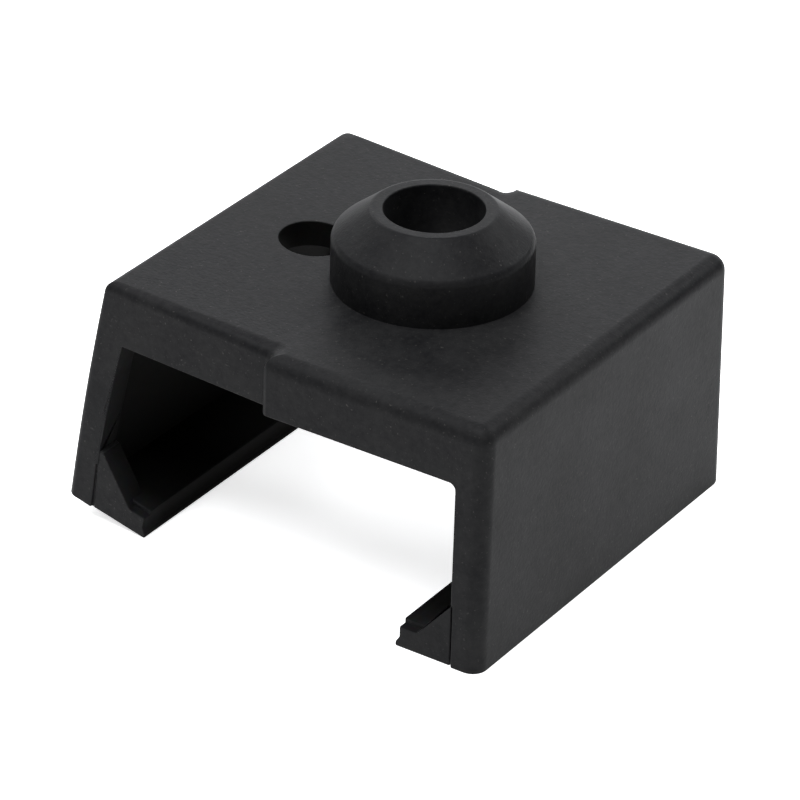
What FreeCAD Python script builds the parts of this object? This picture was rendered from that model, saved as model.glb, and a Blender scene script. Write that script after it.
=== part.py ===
import FreeCAD, Part
import os
import re
import Sketcher

# Silicone rubber cover for the heater block of a 3D printer's hotend, moulded in one piece.
# It is modelled nozzle side up, as it stands empty on its open rim. The origin is on the
# nozzle bore's axis, at the face inside that seats on the block. +Z leaves through the boss,
# +X runs to the upright end wall, and Y runs between the two open window walls.

# Driving dimensions, in millimetres and degrees.
SIZES = {
    # shell
    "wall": 1.5,
    "cavity_depth": 12.95,
    "right_reach": 11.5,
    "right_flare": 0.12,
    "left_reach": 13.46,
    "left_lift": 0.55,
    "half_wide": 12.25,
    "jog_step": 0.85,
    "side_draft": 0.38,
    "jog_offset": 2.6,
    # window in each long wall
    "skirt_height": 3.5,
    "right_jamb": 1.83,
    "left_jamb": 1.65,
    "left_jamb_top": 1.22,
    # feet: the lip along each end wall's rim, with a gusset at both its ends
    "foot_length": 5.28,
    "left_foot_tilt": 12.9,
    "left_splay": 2.43,
    "foot_root": 0.9,
    "lip_thickness": 1.28,
    "lip_middle_rise": 0.27,
    "lip_end_step": 0.52,
    "lip_setback": 0.15,
    "flash_width": 0.24,
    "flash_height": 0.25,
    "flash_slope": 0.35,
    "gusset_flat": 1.05,
    "gusset_height": 3.75,
    # nozzle boss
    "bore_radius": 2.75,
    "boss_radius": 5.52,
    "boss_height": 4.32,
    "shoulder_height": 2.66,
    "ring_width": 0.68,
    # access hole beside the boss
    "access_radius": 1.9,
    "access_gap": 0.15,
    "access_shift": 0.3,
    # edge roundings
    "crown_round": 0.65,
    "left_crown_round": 0.55,
    "front_right_round": 0.9,
    "back_right_round": 0.3,
    "back_left_round": 1.1,
    "front_left_round": 0.35,
    "window_round": 0.38,
    "shoulder_round": 0.5,
    "ring_round": 0.2,
}

# Room by which a cut runs past what it cuts, the least volume that counts as a cut, and the
# slacks within which an edge is taken to lie where it is looked for. Draft and earlier
# roundings move a corner's upper end, so a corner gets the wider one.
OVERRUN = 3.0
LEAST_CUT = 0.001
SLACK = 0.02
CORNER_SLACK = 0.1

doc = FreeCAD.newDocument("silicone_sock")
sheet = doc.addObject("Spreadsheet::Sheet", "Sizes")
for row, (alias, value) in enumerate(SIZES.items(), start=1):
    sheet.set("A%d" % row, alias.replace("_", " "))
    sheet.set("B%d" % row, str(value))
    sheet.setAlias("B%d" % row, alias)
doc.recompute()


def size(alias):
    """The sheet's present value of one dimension."""
    return float(sheet.get(alias))


def bound(formula):
    """The formula with each dimension's name pointed at its cell."""

    def point_at_cell(word):
        return "Sizes." + word[0] if word[0] in SIZES else word[0]

    return re.sub(r"[a-z_]+", point_at_cell, formula)


def sketch_on(body, name, role):
    """An empty sketch on one of the body's own origin planes."""
    sketch = body.newObject("Sketcher::SketchObject", name)
    plane = [item for item in body.Origin.OriginFeatures if item.Role == role][0]
    sketch.AttachmentSupport = (plane, [""])
    sketch.MapMode = "FlatFace"
    return sketch


def locate(sketch, geometry, end, across, up):
    """Dimension one point of the sketch from its origin, both ways."""
    for kind, formula in (("DistanceX", across), ("DistanceY", up)):
        value = float(sketch.evalExpression(bound(formula)))
        index = sketch.addConstraint(Sketcher.Constraint(kind, -1, 1, geometry, end, value))
        sketch.setExpression("Constraints[%d]" % index, bound(formula))


def draw_outline(sketch, corners):
    """A closed outline of straight edges through corners given as pairs of formulas."""
    places = []
    for across, up in corners:
        x = float(sketch.evalExpression(bound(across)))
        y = float(sketch.evalExpression(bound(up)))
        places.append(FreeCAD.Vector(x, y, 0))
    first = sketch.GeometryCount
    count = len(places)
    for i in range(count):
        sketch.addGeometry(Part.LineSegment(places[i], places[(i + 1) % count]), False)
    for i in range(count):
        sketch.addConstraint(Sketcher.Constraint("Coincident", first + i, 2, first + (i + 1) % count, 1))
    for i, (across, up) in enumerate(corners):
        locate(sketch, first + i, 1, across, up)


def draw_circle(sketch, across, up, radius):
    """A circle with its centre and radius dimensioned."""
    x = float(sketch.evalExpression(bound(across)))
    y = float(sketch.evalExpression(bound(up)))
    circle = Part.Circle(FreeCAD.Vector(x, y, 0), FreeCAD.Vector(0, 0, 1), size(radius))
    index = sketch.addGeometry(circle, False)
    locate(sketch, index, 3, across, up)
    constraint = sketch.addConstraint(Sketcher.Constraint("Radius", index, size(radius)))
    sketch.setExpression("Constraints[%d]" % constraint, bound(radius))


def pad(body, name, sketch, length, side="Symmetric", reverse=False):
    """Add material along the sketch's normal."""
    feature = body.newObject("PartDesign::Pad", name)
    feature.Profile = sketch
    feature.SideType = side
    feature.Reversed = reverse
    feature.setExpression("Length", bound(length))
    doc.recompute()
    return feature


def pocket(body, name, sketch, side="Symmetric", reverse=False):
    """Cut through all along the sketch's normal, and make sure that something was cut."""
    before = body.Shape.Volume
    feature = body.newObject("PartDesign::Pocket", name)
    feature.Profile = sketch
    feature.SideType = side
    feature.Reversed = reverse
    feature.Type = "ThroughAll"
    if side == "Two sides":
        feature.Type2 = "ThroughAll"
    doc.recompute()
    if body.Shape.Volume > before - LEAST_CUT:
        raise RuntimeError(name + " cuts nothing")
    return feature


def fillet(body, name, radius, wanted):
    """Round the edges of the body's present shape that wanted(edge) picks."""
    tip = body.Tip
    edges = ["Edge%d" % (i + 1) for i, edge in enumerate(tip.Shape.Edges) if wanted(edge)]
    if not edges:
        raise RuntimeError(name + " finds no edge")
    feature = body.newObject("PartDesign::Fillet", name)
    feature.Base = (tip, edges)
    feature.setExpression("Radius", bound(radius))
    doc.recompute()
    return feature


def near(value, target, slack=SLACK):
    return abs(value - target) < slack


def ends(edge):
    """The two end points of an edge, the lower one first."""
    points = [edge.valueAt(edge.FirstParameter), edge.valueAt(edge.LastParameter)]
    return sorted(points, key=lambda point: point.z)


body = doc.addObject("PartDesign::Body", "Sock")
body.Label = "silicone_sock"

# The block from which the shell is formed: its section across the long walls, which lean
# outwards to the rim by the mould's draft. It runs past both ends, for the front view to trim.
section = sketch_on(body, "SideSection", "YZ_Plane")
draw_outline(section, [
    ("-half_wide", "wall + left_lift"),
    ("half_wide", "wall + left_lift"),
    ("half_wide + side_draft", "-cavity_depth"),
    ("-half_wide - side_draft", "-cavity_depth"),
])
block = pad(body, "Block", section, "4 * left_reach")

# Its front view: the upright end on the right, and on the left the end wall that leans
# outwards to a heel above the rim's plane, with the plate rising a little towards it.
view = sketch_on(body, "FrontView", "XZ_Plane")
draw_outline(view, [
    ("-2 * left_reach - %g" % OVERRUN, "wall + left_lift + %g" % OVERRUN),
    ("2 * left_reach + %g" % OVERRUN, "wall + left_lift + %g" % OVERRUN),
    ("2 * left_reach + %g" % OVERRUN, "-cavity_depth - %g" % OVERRUN),
    ("-2 * left_reach - %g" % OVERRUN, "-cavity_depth - %g" % OVERRUN),
])
LEFT_HEEL = ("-left_reach - left_splay", "-cavity_depth + foot_length * sin(left_foot_tilt)")
draw_outline(view, [
    ("-left_reach", "wall + left_lift"),
    ("-jog_offset", "wall"),
    ("right_reach", "wall"),
    ("right_reach + right_flare", "-cavity_depth"),
    ("-left_reach - left_splay + foot_length * cos(left_foot_tilt)", "-cavity_depth"),
    LEFT_HEEL,
])
pocket(body, "TrimToFrontView", view)

# The left part is narrower: a strip comes off each long side as far as the jog.
HALF_NARROW = "(half_wide - jog_step)"
strips = sketch_on(body, "NarrowStrips", "YZ_Plane")
strips.setExpression(".AttachmentOffset.Base.z", bound("-jog_offset"))
doc.recompute()
for side in ("", "-"):
    outside = "%s(half_wide + side_draft + %g)" % (side, OVERRUN)
    draw_outline(strips, [
        (side + HALF_NARROW, "wall + left_lift"),
        (outside, "wall + left_lift"),
        (outside, "-cavity_depth"),
        ("%s(%s + side_draft)" % (side, HALF_NARROW), "-cavity_depth"),
    ])
pocket(body, "NarrowLeft", strips, "One side")

# Hollow from below, with the same wall all round. The faces that look down, of which the
# left foot's is tilted, are left open.
tip = body.Tip
STEEPEST_UNDERSIDE = -0.9
undersides = []
for i, face in enumerate(tip.Shape.Faces):
    if face.normalAt(0, 0).z < STEEPEST_UNDERSIDE:
        undersides.append("Face%d" % (i + 1))
shell = body.newObject("PartDesign::Thickness", "Shell")
shell.Base = (tip, undersides)
shell.Mode = "Skin"
shell.Join = "Intersection"
shell.Intersection = True
shell.Reversed = True
shell.setExpression("Value", bound("wall"))
doc.recompute()

# A window through both long walls, open to the rim, under a skirt of one height.
windows = sketch_on(body, "Windows", "XZ_Plane")
LEFT_RISE = "left_lift * (left_reach - left_jamb_top - jog_offset) / (left_reach - jog_offset)"
JAMB_FOOT = (
    "-left_reach - left_splay + left_jamb * cos(left_foot_tilt)",
    "-cavity_depth + (foot_length - left_jamb) * sin(left_foot_tilt)",
)
draw_outline(windows, [
    ("-left_reach + left_jamb_top", "wall - skirt_height + " + LEFT_RISE),
    ("-jog_offset", "wall - skirt_height"),
    ("right_reach - right_jamb", "wall - skirt_height"),
    ("right_reach + right_flare - right_jamb", "-cavity_depth"),
    ("right_reach + right_flare - right_jamb", "-cavity_depth - %g" % OVERRUN),
    (JAMB_FOOT[0], "-cavity_depth - %g" % OVERRUN),
    JAMB_FOOT,
])
pocket(body, "WindowCut", windows)


def foot(name, inward, half_length, wall_inset, place):
    """A lip along the rim with a gusset at each end, drawn from its heel.

    inward is the sign of X from the heel to the tip in the sketch. half_length is the half
    width of the shell at the rim, and wall_inset is how far the end wall's inner face is from
    the heel. place sets a sketch's attachment, so that a tilted foot is drawn square.
    """
    sign = "" if inward > 0 else "-"
    root = sign + "foot_root"
    shoulder = sign + "(foot_length - flash_width)"
    point = sign + "foot_length"
    gusset_toe = sign + "(foot_length - flash_width - gusset_flat)"
    for part, top, inset in (
        ("Lip", "lip_thickness", "lip_setback"),
        ("LipMiddle", "lip_thickness + lip_middle_rise", "lip_setback + lip_end_step"),
    ):
        profile = sketch_on(body, name + part + "Profile", "XZ_Plane")
        place(profile)
        draw_outline(profile, [
            (root, "0"),
            (root, top),
            (shoulder, top),
            (shoulder, "flash_height + flash_slope"),
            (point, "flash_height"),
            (point, "0"),
        ])
        pad(body, name + part, profile, "2 * (%s - (%s))" % (half_length, inset))
    profile = sketch_on(body, name + "GussetProfile", "XZ_Plane")
    place(profile, "%s - lip_setback" % half_length)
    draw_outline(profile, [
        (root, "lip_thickness / 2"),
        (root, "gusset_height"),
        (sign + wall_inset, "gusset_height"),
        (gusset_toe, "lip_thickness"),
        (gusset_toe, "lip_thickness / 2"),
    ])
    front = pad(body, name + "Gusset", profile, "wall", "One side", True)
    middle_plane = [item for item in body.Origin.OriginFeatures if item.Role == "XZ_Plane"][0]
    mirror = body.newObject("PartDesign::Mirrored", name + "GussetPair")
    mirror.Originals = [front]
    mirror.MirrorPlane = (middle_plane, [""])
    body.Tip = mirror
    doc.recompute()


def place_right(sketch, forward="0"):
    """The right heel is the outer corner of the rim."""
    sketch.setExpression(".AttachmentOffset.Base.x", bound("right_reach + right_flare"))
    sketch.setExpression(".AttachmentOffset.Base.y", bound("-cavity_depth"))
    sketch.setExpression(".AttachmentOffset.Base.z", bound(forward))
    doc.recompute()


def place_left(sketch, forward="0"):
    """The left heel is raised, and the foot tilts down from it to the tip on the rim."""
    sketch.setExpression(".AttachmentOffset.Base.x", bound(LEFT_HEEL[0]))
    sketch.setExpression(".AttachmentOffset.Base.y", bound(LEFT_HEEL[1]))
    sketch.setExpression(".AttachmentOffset.Base.z", bound(forward))
    sketch.setExpression(".AttachmentOffset.Rotation.Angle", bound("-left_foot_tilt"))
    doc.recompute()


foot("RightFoot", -1, "(half_wide + side_draft)", "right_jamb", place_right)
foot("LeftFoot", 1, "(%s + side_draft)" % HALF_NARROW, "left_jamb", place_left)

# The boss round the nozzle: a short cylinder, a cone and a flat ring.
profile = sketch_on(body, "BossProfile", "XZ_Plane")
draw_outline(profile, [
    ("0", "wall / 2"),
    ("boss_radius", "wall / 2"),
    ("boss_radius", "wall + shoulder_height"),
    ("bore_radius + ring_width", "wall + boss_height"),
    ("0", "wall + boss_height"),
])
boss = body.newObject("PartDesign::Revolution", "Boss")
boss.Profile = profile
boss.ReferenceAxis = (profile, ["V_Axis"])
boss.Angle = 360.0
doc.recompute()

# The nozzle's bore through boss and plate, and the access hole that just clears the boss.
bore = sketch_on(body, "BoreCircle", "XY_Plane")
draw_circle(bore, "0", "0", "bore_radius")
pocket(body, "NozzleBore", bore)
access = sketch_on(body, "AccessCircle", "XY_Plane")
draw_circle(access, "-(boss_radius + access_gap + access_radius)", "-access_shift", "access_radius")
pocket(body, "AccessHole", access)

# Roundings. The wide part's upper edges are soft, and the narrow part's are crisp.
TOP = size("wall")
JOG = -size("jog_offset")
RIGHT = size("right_reach")
LEFT = -size("left_reach")
WIDE = size("half_wide")
NARROW = size("half_wide") - size("jog_step")


def crown_edge(edge):
    """An upper edge of the wide part: front, back or right."""
    low, high = ends(edge)
    flat = near(low.z, TOP) and near(high.z, TOP)
    middle = (low + high) / 2
    along_side = middle.x > JOG and abs(middle.y) > WIDE - SLACK
    along_end = near(low.x, RIGHT) and near(high.x, RIGHT)
    return flat and (along_side or along_end)


def left_crown_edge(edge):
    """An upper edge of the narrow part: left end or back."""
    low, high = ends(edge)
    middle = (low + high) / 2
    along_back = middle.x < JOG - SLACK and middle.y > NARROW - SLACK
    along_end = near(middle.x, LEFT)
    return low.z > TOP - SLACK and (along_back or along_end)


def corner(x_top, y_top):
    """A test for the outer edge that runs down from the plate at one corner of the plan. Where
    the left end's crown has been rounded, the leaning edge starts lower and so further out."""
    lean = size("left_splay") * size("left_crown_round") / size("cavity_depth")

    def test(edge):
        low, high = ends(edge)
        tall = high.z - low.z > size("skirt_height") / 2
        at_plate = high.z > TOP - size("wall")
        at_corner = near(high.x, x_top, CORNER_SLACK + lean) and near(high.y, y_top, CORNER_SLACK)
        return tall and at_plate and at_corner

    return test


def window_corner(edge):
    """The window's upper right corner, through the wall."""
    low, high = ends(edge)
    at_corner = near(low.x, RIGHT - size("right_jamb")) and near(low.z, TOP - size("skirt_height"))
    return at_corner and near(low.x, high.x) and near(low.z, high.z)


def ring_at(edge, radius, height):
    """A full circle round the bore's axis."""
    if edge.Degenerated:
        return False
    curve = edge.Curve
    if not isinstance(curve, Part.Circle) or not near(curve.Radius, radius):
        return False
    return near(curve.Center.x, 0) and near(curve.Center.z, height)


def shoulder_edge(edge):
    return ring_at(edge, size("boss_radius"), TOP + size("shoulder_height"))


def ring_edge(edge):
    return ring_at(edge, size("bore_radius") + size("ring_width"), TOP + size("boss_height"))


fillet(body, "FrontRightRound", "front_right_round", corner(RIGHT, -WIDE))
fillet(body, "BackLeftRound", "back_left_round", corner(LEFT, NARROW))
fillet(body, "CrownRound", "crown_round", crown_edge)
fillet(body, "LeftCrownRound", "left_crown_round", left_crown_edge)
fillet(body, "FrontLeftRound", "front_left_round", corner(LEFT, -NARROW))
fillet(body, "BackRightRound", "back_right_round", corner(RIGHT, WIDE))
fillet(body, "WindowRound", "window_round", window_corner)
fillet(body, "ShoulderRound", "shoulder_round", shoulder_edge)
fillet(body, "RingRound", "ring_round", ring_edge)

doc.recompute()
for item in doc.Objects:
    failed = [state for state in item.State if state in ("Invalid", "Error")]
    if failed:
        raise RuntimeError("%s is %s" % (item.Name, failed[0]))
parts = [item for item in doc.Objects if item.TypeId == "PartDesign::Body"]
for part in parts:
    if part.Shape.isNull() or not part.Shape.isValid() or len(part.Shape.Solids) != 1:
        raise RuntimeError(part.Label + " is not one valid solid")

os.makedirs("parts", exist_ok=True)
for part in parts:
    part.Shape.exportStep("parts/" + part.Label + ".step")
    print(part.Label, round(part.Shape.Volume, 1), "mm3", part.Shape.BoundBox)
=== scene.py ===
import math

import bmesh
import bpy
from mathutils import Matrix, Vector


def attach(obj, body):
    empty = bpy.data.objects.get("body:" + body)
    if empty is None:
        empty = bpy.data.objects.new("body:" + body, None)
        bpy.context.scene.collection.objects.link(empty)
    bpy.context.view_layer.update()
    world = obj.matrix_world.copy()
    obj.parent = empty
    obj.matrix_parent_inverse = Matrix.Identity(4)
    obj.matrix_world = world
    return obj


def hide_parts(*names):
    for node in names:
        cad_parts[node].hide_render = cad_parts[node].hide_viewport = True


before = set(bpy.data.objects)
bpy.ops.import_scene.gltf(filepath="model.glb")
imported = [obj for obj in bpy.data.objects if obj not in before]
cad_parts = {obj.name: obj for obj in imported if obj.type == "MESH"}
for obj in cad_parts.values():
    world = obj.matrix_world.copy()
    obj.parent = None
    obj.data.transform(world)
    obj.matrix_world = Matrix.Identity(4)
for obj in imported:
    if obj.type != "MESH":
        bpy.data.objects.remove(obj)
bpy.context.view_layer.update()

# The camera: a long lens from the front right, about thirty degrees above the table, turned
# a little about its own axis. Distances are in metres from the point that it looks at.
CAMERA_AZIMUTH = math.radians(33.1)
CAMERA_ELEVATION = math.radians(29.9)
CAMERA_ROLL = math.radians(1.5)
CAMERA_DISTANCE = 0.2608
CAMERA_TARGET = Vector((-0.00187, 0.0, -0.00661))
CAMERA_LENS = 214.07
away = Vector((
    math.sin(CAMERA_AZIMUTH) * math.cos(CAMERA_ELEVATION),
    -math.cos(CAMERA_AZIMUTH) * math.cos(CAMERA_ELEVATION),
    math.sin(CAMERA_ELEVATION),
))
right = Vector((math.cos(CAMERA_AZIMUTH), math.sin(CAMERA_AZIMUTH), 0.0))
up = away.cross(right)
rolled_right = right * math.cos(CAMERA_ROLL) + up * math.sin(CAMERA_ROLL)
rolled_up = up * math.cos(CAMERA_ROLL) - right * math.sin(CAMERA_ROLL)
camera_data = bpy.data.cameras.new("camera")
camera_data.lens = CAMERA_LENS
camera_data.clip_start = 0.01
camera = bpy.data.objects.new("camera", camera_data)
turn = Matrix((rolled_right, rolled_up, away)).transposed().to_4x4()
camera.matrix_world = Matrix.Translation(CAMERA_TARGET + away * CAMERA_DISTANCE) @ turn
bpy.context.scene.collection.objects.link(camera)
bpy.context.scene.camera = camera

# The shell: a box of black silicone rubber, open underneath and moulded in one piece with all
# that follows. Its left part is narrower, and the long walls step in to it through a soft S.
# Lengths are in millimetres until the finished mesh is brought down to metres.
WALL = 1.5
TOP = 1.5
RIM = -12.95
JOG = -2.6
RIGHT = 11.5
LEFT = -13.46
WIDE = 12.25
NARROW = 11.4
STEP_ROUND = 0.41
DRAFT = 0.37
RIGHT_FLARE = 0.12
LEG_SPREAD = 2.637
LEG_BOW = 0.13
BOW_END = 0.918
PLATE_RISE = 0.55
LEAST_ROUND = 0.02
SPARE = 1.0
NEAR = 1e-5


def closed_object(name, mesh):
    """An object from a closed bmesh, with its faces outwards."""
    bmesh.ops.recalc_face_normals(mesh, faces=mesh.faces)
    data = bpy.data.meshes.new(name)
    mesh.to_mesh(data)
    mesh.free()
    made = bpy.data.objects.new(name, data)
    bpy.context.scene.collection.objects.link(made)
    return made


def level(mesh, inset, height):
    """Add the plan's outline at one height, as a face with eight rounded corners. Set inwards,
    its outer corners tighten and its inner ones open."""
    wide = WIDE - inset
    narrow = NARROW - inset
    step = max(STEP_ROUND - inset, LEAST_ROUND)
    inner_step = min(STEP_ROUND + inset, 2 * STEP_ROUND - step)
    left = LEFT + 1.015 * inset
    corners = [
        (RIGHT - inset, -wide, 0.9 - inset),
        (RIGHT - inset, wide, 0.95 - inset),
        (JOG + inset, wide, step),
        (JOG + inset, narrow, inner_step),
        (left, narrow, 1.1 - inset),
        (left, -narrow, 0.55 - inset),
        (JOG + inset, -narrow, inner_step),
        (JOG + inset, -wide, step),
    ]
    verts = [mesh.verts.new((x, y, height)) for x, y, radius in corners]
    mesh.faces.new(verts)
    for vert, (x, y, radius) in zip(verts, corners):
        bmesh.ops.bevel(
            mesh, geom=[vert], offset=max(radius, LEAST_ROUND), offset_type="OFFSET", segments=8,
            profile=0.5, affect="VERTICES", material=-1, clamp_overlap=False,
        )


def stack(levels):
    """A closed bmesh through outlines given as (inset, height), from the top down."""
    mesh = bmesh.new()
    for inset, height in levels:
        level(mesh, inset, height)
    between = []
    for (inset, height), (next_inset, next_height) in zip(levels, levels[1:]):
        between.append([
            e for e in mesh.edges
            if all(min(abs(v.co.z - height), abs(v.co.z - next_height)) < NEAR for v in e.verts)
        ])
    inner_heights = [height for inset, height in levels[1:-1]]
    inner = [f for f in mesh.faces if any(abs(f.verts[0].co.z - height) < NEAR for height in inner_heights)]
    bmesh.ops.delete(mesh, geom=inner, context="FACES_ONLY")
    for edges in between:
        bmesh.ops.bridge_loops(mesh, edges=edges)
    bmesh.ops.recalc_face_normals(mesh, faces=mesh.faces)
    return mesh


def flex(mesh):
    """The draft of the walls, and the way the left end has spread: its leg leans outwards with
    a slight bow, and the plate rises a little towards it."""
    for height in (0.4, -1.0, -2.5, -4.0, -5.5, -7.0, -8.5, -10.0, -11.5):
        geom = list(mesh.verts) + list(mesh.edges) + list(mesh.faces)
        bmesh.ops.bisect_plane(mesh, geom=geom, plane_co=(0, 0, height), plane_no=(0, 0, 1))
    geom = list(mesh.verts) + list(mesh.edges) + list(mesh.faces)
    bmesh.ops.bisect_plane(mesh, geom=geom, plane_co=(JOG, 0, 0), plane_no=(1, 0, 0))
    for vert in mesh.verts:
        down = (TOP - vert.co.z) / (TOP - RIM)
        vert.co.y += math.copysign(DRAFT * down, vert.co.y)
        if vert.co.x > 9:
            vert.co.x += RIGHT_FLARE * down
        if vert.co.x < JOG:
            leg = min((JOG - vert.co.x) / (JOG + 11.9), 1.0)
            plate = (JOG - vert.co.x) / (JOG - LEFT)
            bow = LEG_BOW * math.sin(math.pi * min(down / BOW_END, 1.0))
            vert.co.x -= (LEG_SPREAD * down + bow) * leg
            vert.co.z += PLATE_RISE * (1 - down) * plate
    bmesh.ops.triangulate(mesh, faces=mesh.faces)


CROWN = 0.95
CROWN_STEPS = 8
outer_levels = []
for i in range(CROWN_STEPS + 1):
    angle = math.radians(90 - 90 * i / CROWN_STEPS)
    outer_levels.append((CROWN * (1 - math.cos(angle)), TOP - CROWN * (1 - math.sin(angle))))
outside = stack(outer_levels + [(0.0, RIM - SPARE)])

# The narrow part's upper edges are crisper, most of all in front: there the rounding is drawn
# in towards the edge that it replaced.
crown_reach = CROWN + 0.01
for vert in outside.verts:
    sharpness = min(max((JOG - vert.co.x) / 0.8, 0.0), 1.0)
    depth = TOP - vert.co.z
    if sharpness == 0 or depth > crown_reach:
        continue
    front = vert.co.y + NARROW
    back = NARROW - vert.co.y
    end = vert.co.x - LEFT
    if front < crown_reach:
        drawn_in = (0.65 if end > 1.6 else 0.4) * sharpness
        vert.co.y = -NARROW + front * (1 - drawn_in)
        vert.co.z = TOP - depth * (1 - drawn_in)
    elif back < crown_reach:
        vert.co.y = NARROW - back * (1 - 0.4 * sharpness)
        vert.co.z = TOP - depth * (1 - 0.4 * sharpness)
    elif end < crown_reach:
        vert.co.z = TOP - depth * 0.6
    if end < crown_reach:
        vert.co.x = LEFT + end * 0.6
flex(outside)
sock = closed_object("silicone_sock_moulding", outside)

cavity = stack([(WALL, TOP - WALL), (WALL, RIM - 2 * SPARE)])
flex(cavity)
cavity_object = closed_object("cavity", cavity)


def combine(target, tool, operation):
    """Join a closed object to the target, or cut it away."""
    modifier = target.modifiers.new("combine", "BOOLEAN")
    modifier.operation = operation
    modifier.solver = "EXACT"
    modifier.object = tool
    bpy.context.view_layer.objects.active = target
    bpy.ops.object.modifier_apply(modifier=modifier.name)
    tool_mesh = tool.data
    bpy.data.objects.remove(tool)
    bpy.data.meshes.remove(tool_mesh)


combine(sock, cavity_object, "DIFFERENCE")

# The windows: both long walls are open from the rim to a skirt under the plate, left open by
# the mould. The skirt's lower edge rises with the plate, and the window's upper right corner
# is rounded.
SKIRT_EDGE = -2.0
JAMB = 9.67
ACROSS = 15


def prism(points, start, end):
    """A closed bmesh: the face through points given as (x, z), extruded along Y."""
    mesh = bmesh.new()
    face = mesh.faces.new([mesh.verts.new((x, start, z)) for x, z in points])
    grown = bmesh.ops.extrude_face_region(mesh, geom=[face])
    for item in grown["geom"]:
        if isinstance(item, bmesh.types.BMVert):
            item.co.y = end
    bmesh.ops.recalc_face_normals(mesh, faces=mesh.faces)
    return mesh


window = prism([
    (-12.24, -1.54),
    (JOG, SKIRT_EDGE),
    (JAMB, SKIRT_EDGE),
    (9.79, RIM),
    (9.79, RIM - 3 * SPARE),
    (-14.6, RIM - 3 * SPARE),
    (-14.28, -12.14),
    (-13.86, -9.3),
    (-13.31, -6.4),
    (-12.72, -3.6),
], -ACROSS, ACROSS)
corner = [
    e for e in window.edges
    if all(math.hypot(v.co.x - JAMB, v.co.z - SKIRT_EDGE) < 0.01 for v in e.verts)
]
bmesh.ops.bevel(
    window, geom=corner, offset=0.38, offset_type="OFFSET", segments=8, profile=0.5,
    affect="EDGES", material=-1, clamp_overlap=False,
)
combine(sock, closed_object("window", window), "DIFFERENCE")

# The feet: a lip turned inwards along the rim of each end wall, thicker in its middle, with a
# thin bead of flash at its tip and a sloped gusset at both ends. The left foot is tilted with
# its leg. Each is drawn from its heel, x running inwards, and turned into place.
RIGHT_HEEL = (11.62, 0, RIM)
LEFT_HEEL = (-15.89, 0, -11.771)
LEFT_TILT = math.radians(12.9)
for place, half, wall_inset in (
    (Matrix.Translation(RIGHT_HEEL) @ Matrix.Rotation(math.pi, 4, "Z"), 12.48, 1.83),
    (Matrix.Translation(LEFT_HEEL) @ Matrix.Rotation(LEFT_TILT, 4, "Y"), 11.63, 1.65),
):
    lip = [(0.9, -SPARE), (0.9, 1.28), (5.04, 1.28), (5.04, 0.6), (5.28, 0.25), (5.28, -SPARE)]
    foot = closed_object("foot", prism(lip, -half, half))
    middle = [(0.9, 0.8), (0.9, 1.55), (5.04, 1.55), (5.04, 0.8)]
    combine(foot, closed_object("middle", prism(middle, 0.52 - half, half - 0.52)), "UNION")
    gusset = [(0.9, 0.8), (0.9, 3.75), (wall_inset, 3.75), (3.99, 1.28), (3.99, 0.8)]
    for side in (-1, 1):
        combine(foot, closed_object("gusset", prism(gusset, side * half, side * (half - WALL))), "UNION")
    foot.data.transform(place)
    combine(sock, foot, "UNION")

# The grooves: narrow lines in the rubber that mark where each foot's ends meet the legs. They are
# at most a third of a millimetre deep, and shallower towards the top.
for x, top, foot_x, foot_z, width, floor_y in (
    (9.735, -9.3, 9.79, RIM - SPARE, 0.12, 12.3),
    (-13.93, -9.3, -14.38, -13.5, 0.045, 11.6),
):
    groove = [(x, top), (x + width, top), (foot_x + width, foot_z), (foot_x, foot_z)]
    for side in (-1, 1):
        cutter = closed_object("groove", prism(groove, side * ACROSS, side * floor_y))
        combine(sock, cutter, "DIFFERENCE")

# The nozzle boss: a short cylinder, a cone and a flat ring on the plate, with a bore for the
# nozzle's hexagon through both. A round access hole just clears it.
BOSS_RADIUS = 5.52
RING_RADIUS = 3.43
BOSS_TOP = 5.82
BORE_RADIUS = 2.75
ACCESS_X = -7.57
ACCESS_Y = -0.3
ACCESS_RADIUS = 1.9
ROUND_STEPS = 96
boss = bmesh.new()
profile = ((0, 0.75), (BOSS_RADIUS, 0.75), (BOSS_RADIUS, 4.16), (RING_RADIUS, BOSS_TOP), (0, BOSS_TOP))
outline = [boss.verts.new((x, 0, z)) for x, z in profile]
for start, end in zip(outline, outline[1:]):
    boss.edges.new((start, end))
bmesh.ops.bevel(
    boss, geom=[outline[2]], offset=0.28, offset_type="OFFSET", segments=6, profile=0.5,
    affect="VERTICES", material=-1, clamp_overlap=False,
)
ring_corner = [v for v in boss.verts if abs(v.co.x - RING_RADIUS) < 0.01]
bmesh.ops.bevel(
    boss, geom=ring_corner, offset=0.1, offset_type="OFFSET", segments=4, profile=0.5,
    affect="VERTICES", material=-1, clamp_overlap=False,
)
bmesh.ops.spin(
    boss, geom=list(boss.verts) + list(boss.edges), cent=(0, 0, 0), axis=(0, 0, 1),
    angle=2 * math.pi, steps=ROUND_STEPS, use_merge=True,
)
bmesh.ops.remove_doubles(boss, verts=boss.verts, dist=0.0001)
combine(sock, closed_object("boss", boss), "UNION")
for x, y, radius in ((0, 0, BORE_RADIUS), (ACCESS_X, ACCESS_Y, ACCESS_RADIUS)):
    hole = bmesh.new()
    bmesh.ops.create_cone(
        hole, cap_ends=True, segments=ROUND_STEPS, radius1=radius, radius2=radius, depth=20,
        matrix=Matrix.Translation((x, y, 0)),
    )
    combine(sock, closed_object("hole", hole), "DIFFERENCE")

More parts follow.
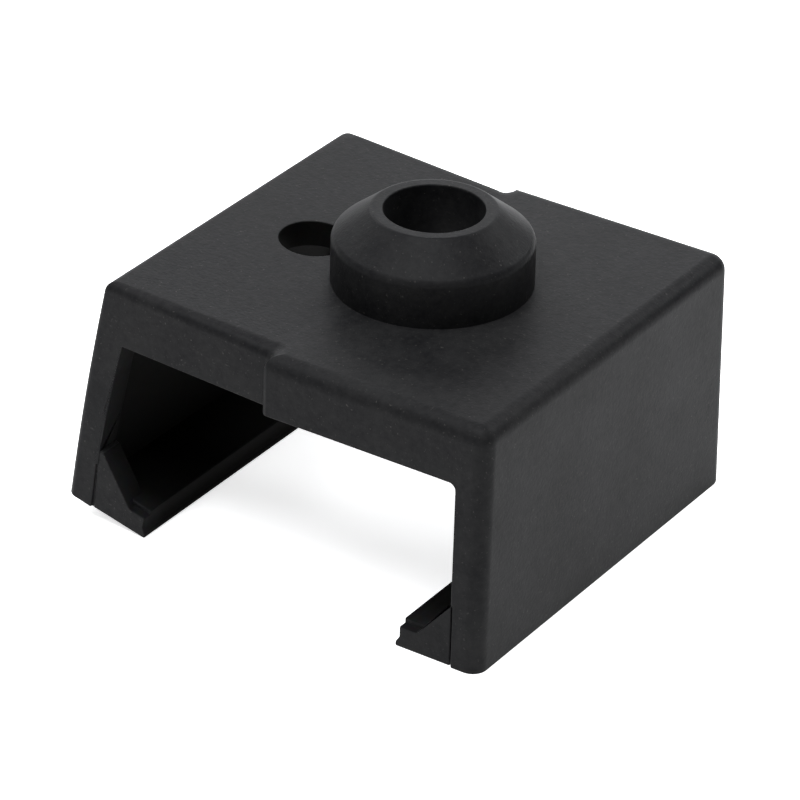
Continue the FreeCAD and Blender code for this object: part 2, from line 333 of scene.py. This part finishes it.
# The moulding is finished: the underside is one flat cut, with a second along the tilted left
# foot, and every crisp outer edge is eased a little, as rubber leaves the mould.
MM = 0.001
EDGE_ROUND = 0.08
CRISP = math.radians(32)
whole = bmesh.new()
whole.from_mesh(sock.data)
for point, normal in (
    ((0, 0, RIM), (0, 0, -1)),
    (LEFT_HEEL, (-math.sin(LEFT_TILT), 0, -math.cos(LEFT_TILT))),
):
    geom = list(whole.verts) + list(whole.edges) + list(whole.faces)
    cut = bmesh.ops.bisect_plane(whole, geom=geom, plane_co=point, plane_no=normal, clear_outer=True)
    edges = [item for item in cut["geom_cut"] if isinstance(item, bmesh.types.BMEdge)]
    bmesh.ops.holes_fill(whole, edges=edges, sides=0)
bmesh.ops.remove_doubles(whole, verts=whole.verts, dist=0.001)
bmesh.ops.dissolve_limit(whole, angle_limit=math.radians(0.2), verts=whole.verts, edges=whole.edges)
whole.transform(Matrix.Scale(MM, 4))
for face in whole.faces:
    face.smooth = True
weights = whole.edges.layers.float.new("bevel_weight_edge")
for edge in whole.edges:
    if not edge.is_manifold or edge.calc_face_angle() < CRISP:
        continue
    if not edge.is_convex:
        edge.smooth = False
        continue
    middle = (edge.verts[0].co + edge.verts[1].co) / 2 / MM
    on_crown = (
        middle.z > 0.7
        and math.hypot(middle.x, middle.y) > BOSS_RADIUS + 0.5
        and math.hypot(middle.x - ACCESS_X, middle.y - ACCESS_Y) > ACCESS_RADIUS + 0.1
    )
    edge[weights] = 0.0 if on_crown else 1.0
whole.to_mesh(sock.data)
whole.free()
edge_round = sock.modifiers.new("edge round", "BEVEL")
edge_round.width = EDGE_ROUND * MM
edge_round.segments = 2
edge_round.limit_method = "WEIGHT"
edge_round.use_clamp_overlap = False
even_normals = sock.modifiers.new("even normals", "WEIGHTED_NORMAL")
even_normals.keep_sharp = True
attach(sock, "root")
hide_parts("silicone_sock")

# The finish outside: matte silicone, a slightly blue black with faint mottling, a fine grain and
# a little pale dust. All of it is drawn in the mesh's own coordinates.
rubber = bpy.data.materials.new("black_silicone_rubber")
rubber.use_nodes = True
nodes = rubber.node_tree.nodes
links = rubber.node_tree.links
shader = nodes["Principled BSDF"]
shader.inputs["IOR"].default_value = 1.16
place_node = nodes.new("ShaderNodeTexCoord")


def noise(tree, place, scale, detail, roughness):
    """A noise texture of one scale, in the coordinates that place gives."""
    texture = tree.nodes.new("ShaderNodeTexNoise")
    texture.inputs["Scale"].default_value = scale
    texture.inputs["Detail"].default_value = detail
    texture.inputs["Roughness"].default_value = roughness
    tree.links.new(place.outputs["Object"], texture.inputs["Vector"])
    return texture


blotch = noise(rubber.node_tree, place_node, 240.0, 3.0, 0.6)
speckle = noise(rubber.node_tree, place_node, 2200.0, 4.0, 0.7)
mixed = nodes.new("ShaderNodeMix")
mixed.data_type = "FLOAT"
mixed.inputs["Factor"].default_value = 0.5
links.new(blotch.outputs["Fac"], mixed.inputs["A"])
links.new(speckle.outputs["Fac"], mixed.inputs["B"])
tone = nodes.new("ShaderNodeValToRGB")
tone.color_ramp.elements[0].position = 0.36
tone.color_ramp.elements[0].color = (0.0048, 0.0049, 0.0055, 1)
tone.color_ramp.elements[1].position = 0.64
tone.color_ramp.elements[1].color = (0.0127, 0.0127, 0.0129, 1)
links.new(mixed.outputs["Result"], tone.inputs["Fac"])
dust = noise(rubber.node_tree, place_node, 6500.0, 2.0, 0.5)
fleck = nodes.new("ShaderNodeMapRange")
fleck.inputs["From Min"].default_value = 0.66
fleck.inputs["From Max"].default_value = 0.80
links.new(dust.outputs["Fac"], fleck.inputs["Value"])
dusted = nodes.new("ShaderNodeMix")
dusted.data_type = "RGBA"
dusted.inputs["B"].default_value = (0.040, 0.039, 0.036, 1)
links.new(fleck.outputs["Result"], dusted.inputs["Factor"])
links.new(tone.outputs["Color"], dusted.inputs["A"])
links.new(dusted.outputs["Result"], shader.inputs["Base Color"])
worn = nodes.new("ShaderNodeMapRange")
worn.inputs["From Min"].default_value = 0.35
worn.inputs["From Max"].default_value = 0.65
worn.inputs["To Min"].default_value = 0.46
worn.inputs["To Max"].default_value = 0.54
links.new(blotch.outputs["Fac"], worn.inputs["Value"])
links.new(worn.outputs["Result"], shader.inputs["Roughness"])
grain = noise(rubber.node_tree, place_node, 5000.0, 3.0, 0.5)
bump = nodes.new("ShaderNodeBump")
bump.inputs["Strength"].default_value = 0.35
bump.inputs["Distance"].default_value = 0.00004
links.new(grain.outputs["Fac"], bump.inputs["Height"])
links.new(bump.outputs["Normal"], shader.inputs["Normal"])

# The finish inside, with painted shade: the same rubber as a darker, duller copy without dust, standing in
# for the shade on the cavity's walls under the cover. Its colour is darkest in the middle and lighter towards
# the windows.
shaded_inner_rubber = bpy.data.materials.new("black_silicone_painted_shade_inside")
shaded_inner_rubber.use_nodes = True
inner_nodes = shaded_inner_rubber.node_tree.nodes
inner_links = shaded_inner_rubber.node_tree.links
inner_shader = inner_nodes["Principled BSDF"]
inner_shader.inputs["Roughness"].default_value = 0.7
inner_shader.inputs["IOR"].default_value = 1.08
inner_place = inner_nodes.new("ShaderNodeTexCoord")
split = inner_nodes.new("ShaderNodeSeparateXYZ")
inner_links.new(inner_place.outputs["Object"], split.inputs["Vector"])
from_middle = inner_nodes.new("ShaderNodeMath")
from_middle.operation = "ABSOLUTE"
inner_links.new(split.outputs["Y"], from_middle.inputs[0])
# Painted shade: the inside colour is lighter near the windows and darker towards the middle of the cavity.
painted_shade_falloff = inner_nodes.new("ShaderNodeMapRange")
painted_shade_falloff.inputs["From Min"].default_value = 0.0096
painted_shade_falloff.inputs["From Max"].default_value = 0.0122
inner_links.new(from_middle.outputs["Value"], painted_shade_falloff.inputs["Value"])
painted_shade_tone = inner_nodes.new("ShaderNodeMix")
painted_shade_tone.data_type = "RGBA"
painted_shade_tone.inputs["A"].default_value = (0.003, 0.003, 0.0028, 1)
painted_shade_tone.inputs["B"].default_value = (0.012, 0.012, 0.0125, 1)
inner_links.new(painted_shade_falloff.outputs["Result"], painted_shade_tone.inputs["Factor"])
inner_grain = noise(shaded_inner_rubber.node_tree, inner_place, 2200.0, 2.0, 0.5)
inner_mix = inner_nodes.new("ShaderNodeMix")
inner_mix.data_type = "RGBA"
inner_mix.blend_type = "MULTIPLY"
inner_mix.inputs["Factor"].default_value = 0.5
inner_links.new(painted_shade_tone.outputs["Result"], inner_mix.inputs["A"])
inner_links.new(inner_grain.outputs["Color"], inner_mix.inputs["B"])
inner_links.new(inner_mix.outputs["Result"], inner_shader.inputs["Base Color"])
sock.data.materials.clear()
sock.data.materials.append(rubber)
sock.data.materials.append(shaded_inner_rubber)

# Each test finds the faces of one part of the inside, by where they lie and which way they face, in
# millimetres.
# These faces take the darker copy of the rubber, with its painted shade.
for face in sock.data.polygons:
    x, y, z = face.center / MM
    n = face.normal
    end_wall = n.x * x < -2.5 and abs(y) < 9.8 and -14.6 < x < 10.2 and -12.9 < z < 0.4
    side_wall = abs(n.y) > 0.5 and n.y * y < 0 and abs(y) < 11.2 and z < 0.4
    ceiling = n.z < -0.5 and -1 < z < 0.6
    lip = (x < -10 or 5.8 < x < 10.2) and -12.9 < z < -9 and n.z > -0.5 and abs(n.y) < 0.5 and n.x * x <= 0.01
    reveal = x < -11.8 and abs(n.y) < 0.3 and n.x > 0.5
    hole = math.hypot(x - ACCESS_X, y - ACCESS_Y) < ACCESS_RADIUS + 0.05 and abs(n.z) < 0.5
    if end_wall or side_wall or ceiling or lip or reveal or hole:
        face.material_index = 1

# The set: a plain pale floor that glows a little, so that it stays white under the cover. The
# light is soft, from above and from low behind, with a fill from the front left.
floor_mesh = bmesh.new()
floor_place = Matrix.Translation((0, 0, RIM * MM))
bmesh.ops.create_grid(floor_mesh, x_segments=1, y_segments=1, size=1.5, matrix=floor_place)
floor_data = bpy.data.meshes.new("floor")
floor_mesh.to_mesh(floor_data)
floor_mesh.free()
floor = bpy.data.objects.new("floor", floor_data)
bpy.context.scene.collection.objects.link(floor)
pale = bpy.data.materials.new("pale_floor")
pale.use_nodes = True
pale_shader = pale.node_tree.nodes["Principled BSDF"]
pale_shader.inputs["Base Color"].default_value = (0.9, 0.9, 0.9, 1)
pale_shader.inputs["Roughness"].default_value = 0.9
pale_shader.inputs["Emission Color"].default_value = (1, 1, 1, 1)
pale_shader.inputs["Emission Strength"].default_value = 0.7
floor_data.materials.append(pale)
for name, place, width, height, watts in (
    ("overhead", (0.03, -0.11, 0.5), 0.4, 0.4, 3.6),
    ("back", (-0.10, 0.17, 0.08), 0.24, 0.09, 0.24),
    ("back right", (0.07, 0.13, 0.10), 0.08, 0.08, 0.12),
    ("back left", (-0.13, 0.03, 0.10), 0.08, 0.08, 0.09),
    ("front left", (-0.16, -0.14, 0.27), 0.2, 0.2, 0.4),
):
    lamp = bpy.data.lights.new(name, "AREA")
    lamp.shape = "RECTANGLE"
    lamp.size = width
    lamp.size_y = height
    lamp.energy = watts
    lamp.color = (0.97, 0.98, 1.0)
    light = bpy.data.objects.new(name, lamp)
    facing = Vector(place).to_track_quat("Z", "Y").to_matrix().to_4x4()
    light.matrix_world = Matrix.Translation(place) @ facing
    bpy.context.scene.collection.objects.link(light)
world = bpy.data.worlds.new("studio")
world.use_nodes = True
world.node_tree.nodes["Background"].inputs["Color"].default_value = (1, 1, 1, 1)
world.node_tree.nodes["Background"].inputs["Strength"].default_value = 0.01
bpy.context.scene.world = world
bpy.context.scene.view_settings.view_transform = "Standard"
